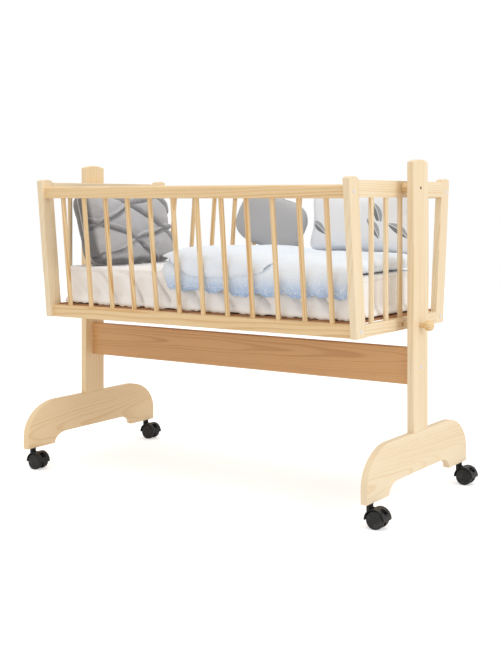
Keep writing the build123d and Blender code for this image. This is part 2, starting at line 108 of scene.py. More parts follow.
def new_material(name, **shader):
    """A material with a Principled shader whose constant sockets are set from shader."""
    material = bpy.data.materials.new(name)
    material.use_nodes = True
    tree = material.node_tree
    tree.nodes.clear()
    surface = put(tree, "BsdfPrincipled", {k.replace("_", " "): v for k, v in shader.items()})
    output = tree.nodes.new("ShaderNodeOutputMaterial")
    tree.links.new(surface.outputs[0], output.inputs["Surface"])
    place = put(tree, "TexCoord").outputs["Object"]
    return material, tree, surface, place


def finish_surface(tree, surface, color=None, roughness=None, height=None, depth=0.001, strength=1.0):
    """Feed the shader's colour, roughness and bump."""
    if color is not None:
        tree.links.new(color, surface.inputs["Base Color"])
    if roughness is not None:
        tree.links.new(roughness, surface.inputs["Roughness"])
    if height is not None:
        bump = put(tree, "Bump", {"Height": height, "Distance": depth, "Strength": strength})
        tree.links.new(bump.outputs["Normal"], surface.inputs["Normal"])


# ---------------------------------------------------------------- shared effects


def make_pine_figure():
    """Growth rings round a far-off pith, fine fibres and slow tone drift, along local X."""
    tree, given, end = group_tree(
        "pine_figure",
        [
            ("Vector", "Vector", None),
            ("Ring", "Float", 0.008),
            ("Waver", "Float", 0.01),
            ("Pale", "Color", (0.8, 0.62, 0.4, 1)),
            ("Dark", "Color", (0.62, 0.38, 0.17, 1)),
            ("Contrast", "Float", 0.6),
        ],
        [("Color", "Color"), ("Height", "Float"), ("Roughness", "Float")],
    )
    place = given["Vector"]
    slow = put(tree, "Mapping", {"Vector": place, "Scale": (2.2, 9, 9)}).outputs[0]
    warp = put(tree, "TexNoise", {"Vector": slow, "Scale": 1.0, "Detail": 2.0}).outputs["Fac"]
    parts = put(tree, "SeparateXYZ", {0: place}).outputs
    across = sums(tree, "MULTIPLY", parts["Y"], parts["Y"])
    deep = sums(tree, "MULTIPLY", parts["Z"], parts["Z"])
    radius = sums(tree, "SQRT", sums(tree, "ADD", across, deep))
    drift = sums(tree, "MULTIPLY", sums(tree, "SUBTRACT", warp, 0.5), given["Waver"])
    radius = sums(tree, "ADD", radius, drift)
    turns = sums(tree, "DIVIDE", radius, given["Ring"])
    uneven = put(
        tree, "TexNoise", {"W": turns, "Scale": 0.45, "Detail": 1.0}, noise_dimensions="1D"
    ).outputs["Fac"]
    turns = sums(tree, "ADD", turns, sums(tree, "MULTIPLY", uneven, 1.6))
    step = sums(tree, "FRACT", turns)
    rise = fade(tree, step, 0.42, 0.88)
    fall = fade(tree, step, 0.88, 1.0, 1.0, 0.0)
    late = sums(tree, "MULTIPLY", rise, fall)
    strong = put(
        tree, "TexNoise", {"W": turns, "Scale": 0.21, "Detail": 0.0}, noise_dimensions="1D"
    ).outputs["Fac"]
    late = sums(tree, "MULTIPLY", late, fade(tree, strong, 0.32, 0.66, 0.45, 1.0))
    thin = put(tree, "Mapping", {"Vector": place, "Scale": (14, 900, 900)}).outputs[0]
    fibre = put(tree, "TexNoise", {"Vector": thin, "Scale": 1.0, "Detail": 3.0}).outputs["Fac"]
    wide = put(tree, "Mapping", {"Vector": place, "Scale": (1.6, 14, 14)}).outputs[0]
    tone = put(tree, "TexNoise", {"Vector": wide, "Scale": 1.0, "Detail": 2.0}).outputs["Fac"]
    mask = sums(tree, "MULTIPLY", late, given["Contrast"])
    mask = sums(tree, "ADD", mask, sums(tree, "MULTIPLY", sums(tree, "SUBTRACT", fibre, 0.5), 0.5))
    mask = sums(tree, "ADD", mask, sums(tree, "MULTIPLY", sums(tree, "SUBTRACT", tone, 0.5), 0.7))
    mask = put(tree, "Clamp", {"Value": mask}).outputs[0]
    color = blend_colors(tree, mask, given["Pale"], given["Dark"])
    height = sums(tree, "ADD", sums(tree, "MULTIPLY", late, 0.5), sums(tree, "MULTIPLY", fibre, 0.5))
    rough = sums(tree, "ADD", 0.42, sums(tree, "MULTIPLY", sums(tree, "SUBTRACT", fibre, late), 0.1))
    tree.links.new(color, end.inputs["Color"])
    tree.links.new(height, end.inputs["Height"])
    tree.links.new(rough, end.inputs["Roughness"])
    return tree


def make_weave():
    """Plain weave: two crossed sets of threads, with slight slubs."""
    tree, given, end = group_tree(
        "weave",
        [("Vector", "Vector", None), ("Thread", "Float", 0.0008), ("Slub", "Float", 0.4)],
        [("Height", "Float"), ("Heather", "Float")],
    )
    pull = put(tree, "TexNoise", {"Vector": given["Vector"], "Scale": 60.0, "Detail": 2.0})
    shift = put(
        tree, "VectorMath", {0: pull.outputs["Color"], 1: (0.0012, 0.0012, 0.0012)}, operation="MULTIPLY"
    )
    spot = put(tree, "VectorMath", {0: given["Vector"], 1: shift.outputs[0]}, operation="ADD")
    parts = put(tree, "SeparateXYZ", {0: spot.outputs[0]}).outputs
    turn = sums(tree, "DIVIDE", 2 * math.pi, given["Thread"])
    waves = [sums(tree, "SINE", sums(tree, "MULTIPLY", parts[axis], turn)) for axis in "XYZ"]
    cross = sums(tree, "MULTIPLY", sums(tree, "ADD", waves[0], waves[1]), waves[2])
    height = sums(tree, "ADD", 0.5, sums(tree, "MULTIPLY", cross, 0.25))
    fluff = put(tree, "TexNoise", {"Vector": given["Vector"], "Scale": 900.0, "Detail": 3.0}).outputs["Fac"]
    slubs = sums(tree, "MULTIPLY", fluff, given["Slub"])
    heather = sums(tree, "ADD", slubs, sums(tree, "MULTIPLY", height, 0.3))
    tree.links.new(sums(tree, "ADD", height, fluff), end.inputs["Height"])
    tree.links.new(heather, end.inputs["Heather"])
    return tree


def make_moulded_grain():
    """Fine spark texture and handling marks of moulded plastic."""
    tree, given, end = group_tree(
        "moulded_grain",
        [("Vector", "Vector", None), ("Scuff", "Float", 0.3)],
        [("Height", "Float"), ("Roughness", "Float"), ("Mark", "Float")],
    )
    grain = put(tree, "TexNoise", {"Vector": given["Vector"], "Scale": 2600.0, "Detail": 2.0}).outputs["Fac"]
    marks = put(tree, "TexNoise", {"Vector": given["Vector"], "Scale": 70.0, "Detail": 5.0}).outputs["Fac"]
    mark = sums(tree, "MULTIPLY", fade(tree, marks, 0.5, 0.75), given["Scuff"])
    rough = sums(tree, "ADD", 0.42, sums(tree, "MULTIPLY", mark, 0.4))
    tree.links.new(grain, end.inputs["Height"])
    tree.links.new(rough, end.inputs["Roughness"])
    tree.links.new(mark, end.inputs["Mark"])
    return tree


PINE = make_pine_figure()
WEAVE = make_weave()
GRAIN = make_moulded_grain()

# ---------------------------------------------------------------- wood

CREAM = ((0.85, 0.71, 0.495, 1), (0.70, 0.43, 0.17, 1))
HONEY = ((0.82, 0.61, 0.345, 1), (0.60, 0.33, 0.11, 1))
# a warmer, more orange copy of the cream tones: painted shade on the left stand's post and foot
SHADED_LEFT_CREAM = ((0.88, 0.69, 0.43, 1), (0.70, 0.42, 0.16, 1))
# darker amber tones: painted shade that the basket casts on the stretcher
SHADED_AMBER = ((0.72, 0.42, 0.19, 1), (0.50, 0.24, 0.09, 1))
PIVOT_HEIGHT = 0.721
PIVOT_BORE_RADIUS = 0.0030
BORE_RIM = 0.0012  # width of the painted shade ring round the bore
HEX_SOCKET_FROM = 0.4940  # the pivot bolts' hex sockets lie beyond this X
ALONG = {"X": (0, 0, 0), "Y": (0, 0, -math.pi / 2), "Z": (0, math.pi / 2, 0)}


def middle(node):
    """Middle of a CAD node's box."""
    low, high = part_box(node)
    return (low + high) / 2


def pine(
    node, along, pith, tones=HONEY, ring=0.006, waver=0.012, contrast=0.75, tilt=(0, 0.01, 0.02), bore=False
):
    """Give a CAD node lacquered pine. along is its grain, pith how far off the tree's middle lies.

    bore paints shade into the mouth of the pivot's bore.
    """
    material, tree, surface, place = new_material(
        f"{node}_pine", Specular_IOR_Level=0.42, Coat_Weight=0.12, Coat_Roughness=0.32
    )
    yaw = Matrix.Rotation(ALONG[along][2], 3, "Z")
    pitch = Matrix.Rotation(ALONG[along][1], 3, "Y")
    centre = -(yaw @ pitch @ middle(node))
    turned = put(tree, "Mapping", {"Vector": place, "Rotation": ALONG[along], "Location": centre}).outputs[0]
    moved = put(tree, "Mapping", {"Vector": turned, "Location": (0.0, *pith), "Rotation": tilt}).outputs[0]
    look = use_group(
        tree,
        PINE,
        {
            "Vector": moved,
            "Ring": ring,
            "Waver": waver,
            "Pale": tones[0],
            "Dark": tones[1],
            "Contrast": contrast,
        },
    )
    color = look["Color"]
    if bore:
        pivot = (0, 0, PIVOT_HEIGHT)
        flat = put(tree, "VectorMath", {0: place, 1: (0, 1, 1)}, operation="MULTIPLY").outputs[0]
        away = put(tree, "VectorMath", {0: flat, 1: pivot}, operation="DISTANCE").outputs["Value"]
        # painted shade: near black inside the bore, fading out over a thin ring round it
        mouth = fade(tree, away, PIVOT_BORE_RADIUS, PIVOT_BORE_RADIUS + BORE_RIM, 1.0, 0.0)
        color = blend_colors(tree, mouth, color, (0.03, 0.022, 0.016, 1))
    finish_surface(tree, surface, color, look["Roughness"], look["Height"], 0.0003, 0.5)
    dress(node, material)


def dress(node, material):
    """Give a CAD node its material."""
    mesh = nodes[node].data
    mesh.materials.clear()
    mesh.materials.append(material)


for turn, end in ((-1, "left"), (1, "right")):
    # the left stand takes the painted-shade copy of the cream tones
    stand = SHADED_LEFT_CREAM if end == "left" else CREAM
    pine(f"{end}_post", "Z", (0.11, 0.05 * turn), stand, 0.0062, 0.008, 0.6, bore=True)
    pine(f"{end}_foot", "Y", (0.062 * turn, 0.022), stand, 0.0038, 0.019, 0.45, (0, 0.02, 0.034))
    pine(f"{end}_top_rail", "Y", (0.05, 0.06), CREAM, 0.0055, 0.01, 0.6)
    pine(f"{end}_bottom_rail", "Y", (0.05, 0.03), CREAM, 0.0055, 0.01, 0.7)
    pine(f"{end}_spindles", "Z", (0.03, 0.02), CREAM, 0.0055, 0.012, 0.8)
    pine(f"{end}_lock_peg", "X", (0.008, 0.005), HONEY, 0.004, 0.004, 0.7)
    for hand, side in ((-1, "front"), (1, "back")):
        lean = (0, 0.02, 0.01 * turn)
        pine(f"{side}_{end}_corner_post", "Z", (0.05 * hand, 0.03), CREAM, 0.006, 0.010, 0.38, lean)
for hand, side in ((-1, "front"), (1, "back")):
    pine(f"{side}_top_rail", "X", (0.06 * hand, 0.05), HONEY, 0.006, 0.012, 0.6)
    pine(f"{side}_bottom_rail", "X", (0.036 * hand, 0.016), HONEY, 0.0046, 0.013, 0.85, (0, 0.012, 0.010))
    pine(f"{side}_spindles", "Z", (0.05, 0.012), HONEY, 0.0056, 0.018, 0.95, (0, 0.02, 0.03))
# the stretcher's darker tones paint in the shade under the basket
pine("stretcher", "X", (0.034, -0.012), SHADED_AMBER, 0.0040, 0.02, 0.6, (0, 0.012, 0.02))
for node in ("post_dowels", "end_frame_dowels", "base_ledgers_and_battens", "pivot_spacers"):
    pine(node, "X", (0.02, 0.02), HONEY)


def hardboard():
    """Brown hardboard of the base panel, with fine chips."""
    material, tree, surface, place = new_material("hardboard", Specular_IOR_Level=0.3)
    chips = put(tree, "TexNoise", {"Vector": place, "Scale": 420.0, "Detail": 4.0}).outputs["Fac"]
    color = blend_colors(tree, chips, (0.50, 0.26, 0.14, 1), (0.36, 0.18, 0.09, 1))
    rough = sums(tree, "ADD", 0.6, sums(tree, "MULTIPLY", chips, 0.2))
    finish_surface(tree, surface, color, rough, chips, 0.0004, 0.6)
    return material


dress("base_panel", hardboard())

# ---------------------------------------------------------------- metal and plastic


def steel():
    """Zinc-plated steel with faint drawn streaks."""
    material, tree, surface, place = new_material("zinc_steel", Metallic=1.0)
    stretched = put(tree, "Mapping", {"Vector": place, "Scale": (900, 900, 90)}).outputs[0]
    streak = put(tree, "TexNoise", {"Vector": stretched, "Scale": 1.0, "Detail": 3.0}).outputs["Fac"]
    color = blend_colors(tree, streak, (0.72, 0.71, 0.68, 1), (0.48, 0.48, 0.47, 1))
    rough = sums(tree, "ADD", 0.24, sums(tree, "MULTIPLY", streak, 0.2))
    finish_surface(tree, surface, color, rough, streak, 0.0001, 0.3)
    return material


def plastic(name, base, worn, scuff=0.3):
    """Moulded plastic in two tones, base and where it is worn."""
    material, tree, surface, place = new_material(name, Specular_IOR_Level=0.3)
    look = use_group(tree, GRAIN, {"Vector": place, "Scuff": scuff})
    color = blend_colors(tree, look["Mark"], base, worn)
    finish_surface(tree, surface, color, look["Roughness"], look["Height"], 0.00008, 0.4)
    return material


def steel_with_socket_shade():
    """Steel of the pivot bolts, with painted shade inside the hex socket at each outer end."""
    material = steel()
    material.name = "pivot_steel"
    tree = material.node_tree
    surface = next(node for node in tree.nodes if node.type == "BSDF_PRINCIPLED")
    place = next(node for node in tree.nodes if node.type == "TEX_COORD").outputs["Object"]
    parts = put(tree, "SeparateXYZ", {0: place}).outputs
    # beyond HEX_SOCKET_FROM the steel is painted near black: painted shade of the hex socket
    end = sums(tree, "GREATER_THAN", sums(tree, "ABSOLUTE", parts["X"]), HEX_SOCKET_FROM)
    bare = surface.inputs["Base Color"].links[0].from_socket
    color = blend_colors(tree, end, bare, (0.015, 0.014, 0.013, 1))
    tree.links.new(color, surface.inputs["Base Color"])
    return material


STEEL = steel()
BLACK = plastic("black_plastic", (0.012, 0.012, 0.013, 1), (0.05, 0.05, 0.05, 1))
WHEEL = plastic("wheel_plastic", (0.018, 0.018, 0.019, 1), (0.07, 0.07, 0.068, 1), 0.6)
WHITE_CAP = plastic("white_cap", (0.72, 0.73, 0.75, 1), (0.58, 0.58, 0.58, 1), 0.3)
NYLON = plastic("nylon", (0.80, 0.78, 0.72, 1), (0.66, 0.63, 0.56, 1), 0.2)
for node in ("stretcher_bolts_and_nuts", "pivot_inserts", "caster_stems", "corner_screws"):
    dress(node, STEEL)
dress("pivot_bolts", steel_with_socket_shade())
for node in ("stretcher_bolt_caps", "corner_screw_caps"):
    dress(node, WHITE_CAP)
dress("pivot_bushes", NYLON)
dress("caster_sockets", BLACK)
for name in nodes:
    if name.endswith("caster_axle"):
        dress(name, STEEL)
    elif "caster_wheel" in name:
        dress(name, WHEEL)
    elif name.endswith(("caster_housing", "brake_lever")):
        dress(name, BLACK)

# ---------------------------------------------------------------- cloth materials


def cloth(name, base, fleck, thread=0.0009, slub=0.5, sheen=0.25, depth=0.0004, soften=0.0):
    """Woven cloth: two close tones mixed thread by thread, with a slow drift."""
    material, tree, surface, place = new_material(
        name, Roughness=0.9, Specular_IOR_Level=0.2, Sheen_Weight=sheen, Sheen_Roughness=0.5
    )
    look = use_group(tree, WEAVE, {"Vector": place, "Thread": thread, "Slub": slub})
    drift = put(tree, "TexNoise", {"Vector": place, "Scale": 9.0, "Detail": 3.0}).outputs["Fac"]
    color = blend_colors(tree, look["Heather"], base, fleck)
    color = blend_colors(tree, fade(tree, drift, 0.35, 0.75, 0.0, soften), color, fleck)
    finish_surface(tree, surface, color, None, look["Height"], depth, 0.5)
    return material, tree, surface, place, color


def leaf_spots(tree, place, size, shift, sparse):
    """Mask of scattered leaves, each with a midrib, in the XZ plane of place."""
    parts = put(tree, "SeparateXYZ", {0: place}).outputs
    flat = put(tree, "CombineXYZ", {0: parts["X"], 1: parts["Z"]}).outputs[0]
    flat = put(tree, "VectorMath", {0: flat, 1: shift}, operation="ADD").outputs[0]
    cells = put(
        tree, "TexVoronoi", {"Vector": flat, "Scale": 1 / size, "Randomness": 0.7}, voronoi_dimensions="2D"
    )
    away = put(tree, "VectorMath", {0: flat, 1: cells.outputs["Position"]}, operation="SUBTRACT").outputs[0]
    away = put(tree, "VectorMath", {0: away, 1: (1 / size,) * 3}, operation="MULTIPLY").outputs[0]
    dice = put(tree, "SeparateColor", {0: cells.outputs["Color"]}).outputs
    angle = sums(tree, "ADD", sums(tree, "MULTIPLY", dice[0], 1.6), -0.2)
    local = put(tree, "VectorRotate", {"Vector": away, "Angle": angle}, rotation_type="Z_AXIS").outputs[0]
    turned = put(tree, "SeparateXYZ", {0: local}).outputs
    bend = sums(tree, "MULTIPLY", sums(tree, "MULTIPLY", turned["X"], turned["X"]), 0.35)
    side = sums(tree, "ADD", turned["Y"], bend)
    along = sums(tree, "DIVIDE", turned["X"], 0.44)
    width = sums(tree, "MULTIPLY", sums(tree, "SUBTRACT", 1.0, sums(tree, "MULTIPLY", along, along)), 0.15)
    gap = sums(tree, "SUBTRACT", width, sums(tree, "ABSOLUTE", side))
    leaf = fade(tree, gap, 0.0, 0.015)
    rib = fade(tree, sums(tree, "ABSOLUTE", side), 0.006, 0.016)
    ribs = {"Vector": local, "Scale": 5.5, "Distortion": 0.6}
    veins = put(tree, "TexWave", ribs, wave_profile="SIN").outputs["Fac"]
    wanted = sums(tree, "GREATER_THAN", dice[1], sparse)
    leaf = sums(tree, "MULTIPLY", sums(tree, "MULTIPLY", leaf, wanted), rib)
    shade = sums(tree, "MULTIPLY", sums(tree, "GREATER_THAN", side, 0.0), 0.7)
    return leaf, sums(tree, "ADD", shade, sums(tree, "MULTIPLY", veins, 0.3))


def leaf_print():
    """Pale cotton with scattered grey leaves."""
    material, tree, surface, place, color = cloth(
        "leaf_print", (0.86, 0.87, 0.89, 1), (0.78, 0.80, 0.84, 1), 0.0006, 0.4
    )
    leaf, shade = leaf_spots(tree, place, 0.074, (0.020, 0.017, 0), 0.22)
    ink = blend_colors(tree, shade, (0.16, 0.17, 0.18, 1), (0.42, 0.44, 0.46, 1))
    color = blend_colors(tree, leaf, color, ink)
    tree.links.new(color, surface.inputs["Base Color"])
    return material


def speckled_quilt():
    """Quilt cloth in its own blue down the hanging front, painted near white on top as painted light from
    above, with small white dots.
    """
    material, tree, surface, place, color = cloth(
        "blue_quilt", (0.87, 0.93, 1.0, 1), (0.76, 0.85, 0.98, 1), 0.0008, 0.5
    )
    mottle = put(tree, "TexNoise", {"Vector": place, "Scale": 24.0, "Detail": 4.0}).outputs["Fac"]
    level = put(tree, "SeparateXYZ", {0: place}).outputs["Z"]
    level = sums(tree, "ADD", level, sums(tree, "MULTIPLY", mottle, 0.03))
    # below this height the quilt's own blue; above it the near-white base is painted light on the top
    low = fade(tree, level, 0.474, 0.545, 1.0, 0.0)
    color = blend_colors(tree, low, color, (0.34, 0.51, 0.80, 1))
    blotch = sums(tree, "MULTIPLY", fade(tree, mottle, 0.46, 0.7, 0.0, 0.5), sums(tree, "ADD", low, 0.1))
    color = blend_colors(tree, blotch, color, (0.28, 0.42, 0.66, 1))
    dots = put(tree, "TexVoronoi", {"Vector": place, "Scale": 185.0, "Randomness": 0.85}).outputs
    chosen = put(tree, "SeparateColor", {0: dots["Color"]}).outputs
    dot = fade(tree, dots["Distance"], 0.24, 0.36, 1.0, 0.0)
    dot = sums(tree, "MULTIPLY", dot, sums(tree, "GREATER_THAN", chosen[0], 0.3))
    color = blend_colors(tree, sums(tree, "MULTIPLY", dot, 0.85), color, (0.93, 0.95, 0.98, 1))
    tree.links.new(color, surface.inputs["Base Color"])
    return material


def sheet_cloth():
    """White cotton sheet, with painted shade, greyer and warmer, in the valleys of its folds."""
    material, tree, surface, place, color = cloth(
        "white_sheet", (0.955, 0.945, 0.94, 1), (0.90, 0.88, 0.87, 1), 0.0007, 0.3, 0.1, 0.0003, 0.2
    )
    fold = put(tree, "Attribute", attribute_name="fold").outputs["Fac"]
    # painted shade in the fold valleys, read from the mattress's fold attribute
    color = blend_colors(tree, sums(tree, "MULTIPLY", fold, 0.75), color, (0.60, 0.52, 0.48, 1))
    tree.links.new(color, surface.inputs["Base Color"])
    return material


def knit():
    """Heathered grey knit, with painted shade in its tucks and on the cushion's sides and back."""
    material, tree, surface, place, color = cloth(
        "grey_knit", (0.30, 0.30, 0.31, 1), (0.54, 0.54, 0.56, 1), 0.0022, 0.8, 0.4, 0.0009, 0.2
    )
    shade = put(tree, "Attribute", attribute_name="shade").outputs["Fac"]
    # the shade attribute paints shade into the tucks and onto the sides and back
    color = blend_colors(tree, sums(tree, "MULTIPLY", shade, 0.8), color, (0.10, 0.10, 0.105, 1))
    tree.links.new(color, surface.inputs["Base Color"])
    return material


SHEET_CLOTH = sheet_cloth()
GREY_KNIT = knit()
GREY_COTTON = cloth(
    "grey_cotton", (0.38, 0.38, 0.39, 1), (0.50, 0.50, 0.51, 1), 0.0011, 0.7, 0.3, 0.0005, 0.2
)[0]
LEAF_CLOTH = leaf_print()
QUILT_CLOTH = speckled_quilt()

# ---------------------------------------------------------------- mesh helpers


def link_piece(name, mesh, material):
    piece = bpy.data.objects.new(name, mesh)
    bpy.context.scene.collection.objects.link(piece)
    mesh.materials.clear()
    mesh.materials.append(material)
    for face in mesh.polygons:
        face.use_smooth = True
    return piece


def read_points(mesh):
    points = np.zeros(len(mesh.vertices) * 3)
    mesh.vertices.foreach_get("co", points)
    return points.reshape(-1, 3)


def write_points(mesh, points):
    mesh.vertices.foreach_set("co", np.asarray(points, float).ravel())
    mesh.update()


def read_normals(mesh):
    normals = np.zeros(len(mesh.vertices) * 3)
    mesh.vertex_normals.foreach_get("vector", normals)
    return normals.reshape(-1, 3)


def bake_modifiers(piece):
    """Apply every modifier by taking the evaluated mesh."""
    graph = bpy.context.evaluated_depsgraph_get()
    done = bpy.data.meshes.new_from_object(piece.evaluated_get(graph))
    piece.modifiers.clear()
    old = piece.data
    piece.data = done
    bpy.data.meshes.remove(old)
    for face in piece.data.polygons:
        face.use_smooth = True
    return piece


def remesh(piece, cell):
    change = piece.modifiers.new("remesh", "REMESH")
    change.mode = "VOXEL"
    change.voxel_size = cell
    return bake_modifiers(piece)


def smooth(piece, times, factor=0.5):
    change = piece.modifiers.new("smooth", "SMOOTH")
    change.iterations = times
    change.factor = factor
    return bake_modifiers(piece)


def subdivide(piece, levels=1):
    change = piece.modifiers.new("subdivision", "SUBSURF")
    change.levels = change.render_levels = levels
    return bake_modifiers(piece)


def puff(piece, cap, pressure=4.0, frames=20, stiffness=15.0):
    """Blow the piece up as cloth for some frames, moving no point further than cap."""
    scene = bpy.context.scene
    rest = read_points(piece.data)
    change = piece.modifiers.new("puff", "CLOTH")
    settings = change.settings
    settings.use_pressure = True
    settings.uniform_pressure_force = pressure
    settings.effector_weights.gravity = 0
    settings.tension_stiffness = settings.compression_stiffness = stiffness
    settings.bending_stiffness = 0.4
    settings.quality = 4
    change.point_cache.frame_end = frames
    for step in range(1, frames + 1):
        scene.frame_set(step)
    bake_modifiers(piece)
    scene.frame_set(1)
    moved = read_points(piece.data) - rest
    length = np.linalg.norm(moved, axis=1, keepdims=True)
    limit = cap * np.tanh(length / cap)
    write_points(piece.data, rest + moved * limit / np.maximum(length, 1e-9))
    return piece


def grid_mesh(name, rows, columns, point, closed_rows=False, closed_columns=False):
    """Quad mesh over a grid; point(i, j) gives the place of each corner."""
    mesh = bpy.data.meshes.new(name)
    places = [point(i, j) for i in range(rows) for j in range(columns)]
    faces = []
    for i in range(rows if closed_rows else rows - 1):
        for j in range(columns if closed_columns else columns - 1):
            a, b = i % rows, (i + 1) % rows
            c, d = j % columns, (j + 1) % columns
            faces.append((a * columns + c, a * columns + d, b * columns + d, b * columns + c))
    mesh.from_pydata(places, [], faces)
    return mesh


def close_up(mesh, gap=0.0002):
    """Merge doubles and point the faces outwards."""
    shape = bmesh.new()
    shape.from_mesh(mesh)
    bmesh.ops.remove_doubles(shape, verts=shape.verts, dist=gap)
    bmesh.ops.recalc_face_normals(shape, faces=shape.faces)
    shape.to_mesh(mesh)
    shape.free()
    return mesh


def wander(points, scale, seed, detail=2):
    """Smooth noise from -1 to 1 at each point."""
    start = Vector((seed, 0, 0))
    return np.array([noise.fractal(Vector(p) * scale + start, 1.0, 2.0, detail) for p in points])


# ---------------------------------------------------------------- cushions

TUCK_SPOT = (-0.366, -0.008, 0.6215)


def pillow_outline(u, wide, tall, pinch, corner):
    """Point of a pillow's edge at u, from 0 to 1 round it, with its sides pulled in."""
    angle = 2 * math.pi * u
    c, s = math.cos(angle), math.sin(angle)
    reach = (abs(c) ** corner + abs(s) ** corner) ** (-1 / corner)
    x, y = c * reach, s * reach
    return (wide / 2 * x * (1 - pinch * (1 - y * y)), tall / 2 * y * (1 - pinch * (1 - x * x)))


def make_pillow(
    name, place, wide, tall, thick, material, cap,
    pinch=0.045, cell=0.005, pressure=4.0, fullness=2.6, corner=7,
):
    """A stuffed pillow: a crowned form blown up as cloth, place is its middle and turn."""
    around, rings = 96, 14

    def spot(i, j):
        face = 1 if i <= rings else -1
        share = i / rings if i <= rings else 2 - i / rings
        x, y = pillow_outline(j / around, wide, tall, pinch, corner)
        swell = (1 - share**fullness) ** 0.58
        return place @ Vector((x * share, y * share, face * thick / 2 * swell))

    mesh = close_up(grid_mesh(name, 2 * rings + 1, around, spot, closed_columns=True))
    piece = link_piece(name, mesh, material)
    remesh(piece, cell)
    puff(piece, cap, pressure)
    subdivide(piece)
    return piece


def cushion_place(x, y, z, turn, tip, roll=0.0):
    """Middle and turn of a cushion: face along local Z, top along local Y."""
    return (
        Matrix.Translation((x, y, z))
        @ Matrix.Rotation(math.radians(turn), 4, "Z")
        @ Matrix.Rotation(math.radians(90 - tip), 4, "X")
        @ Matrix.Rotation(math.radians(roll), 4, "Z")
    )


def pintucks(piece, place, start, spacing=0.090, height=0.0105):
    """Fold the face into crossed diagonal tucks that meet at start.

    The shade attribute marks painted shade in the tucks and on the cushion's sides and back.
    """
    points = read_points(piece.data)
    inside = np.array(place.inverted())
    local = points @ inside[:3, :3].T + inside[:3, 3]
    normal = read_normals(piece.data)
    facing = np.clip((normal @ np.array(place)[:3, 2] - 0.15) / 0.5, 0, 1)
    slope = math.radians(22)
    shift = np.zeros(len(points))
    dark = np.zeros(len(points))
    for sign in (1, -1):
        x = local[:, 0] - start[0]
        y = local[:, 1] - start[1] + 0.9 * (x - 0.08) ** 2 * (x > 0.08)
        across = x * math.sin(slope) * sign + y * math.cos(slope) + 0.003 * np.sin(x * 45 + sign)
        gap = (across + spacing * 10.5) % spacing - spacing / 2
        ridge = np.exp(-((gap / 0.0034) ** 2))
        crease = np.exp(-(((gap + 0.0078) / 0.0042) ** 2))
        # dark: painted shade along each tuck's crease
        dark = np.maximum(dark, np.exp(-(((gap + 0.0068) / 0.0030) ** 2)))
        sunk = 0.55 * np.cos(math.pi * gap / spacing) ** 6
        shift += height * ridge - 1.2 * height * crease - height * sunk
    shift = np.maximum(shift, -0.0125)
    fold = np.exp(-(((local[:, 1] + 0.078 - 0.12 * (local[:, 0] + 0.1)) / 0.006) ** 2))
    shift -= 0.012 * fold * np.clip((-0.03 - local[:, 0]) / 0.05, 0, 1)
    rumple = wander(local, 38.0, 4.0, 3)
    shift += 0.0012 * rumple
    write_points(piece.data, points + normal * (shift * facing)[:, None])
    # painted shade on the cushion's sides and back
    side_and_back_shade = np.clip((0.030 - local[:, 2]) / 0.008, 0, 1)
    shade = piece.data.attributes.new("shade", "FLOAT", "POINT")
    shade.data.foreach_set("value", np.maximum(side_and_back_shade, 0.75 * dark * facing))


TUCK_PLACE = cushion_place(*TUCK_SPOT, 90, 16)
tuck_cushion = make_pillow(
    "tucked_cushion", TUCK_PLACE, 0.352, 0.208, 0.092, GREY_KNIT, 0.008, 0.01, 0.0042, fullness=8
)
pintucks(tuck_cushion, TUCK_PLACE, (-0.140, 0.008))
PLAIN_PLACE = cushion_place(-0.010, 0.160, 0.636, 0, 7, -22)
plain_cushion = make_pillow(
    "round_cushion", PLAIN_PLACE, 0.212, 0.150, 0.058, GREY_COTTON, 0.012, -0.05, corner=4
)
LEAF_PLACE = cushion_place(0.266, 0.165, 0.640, 0, 8)
leaf_pillow = make_pillow("leaf_cushion", LEAF_PLACE, 0.326, 0.180, 0.058, LEAF_CLOTH, 0.010, 0.04)

# ---------------------------------------------------------------- mattress


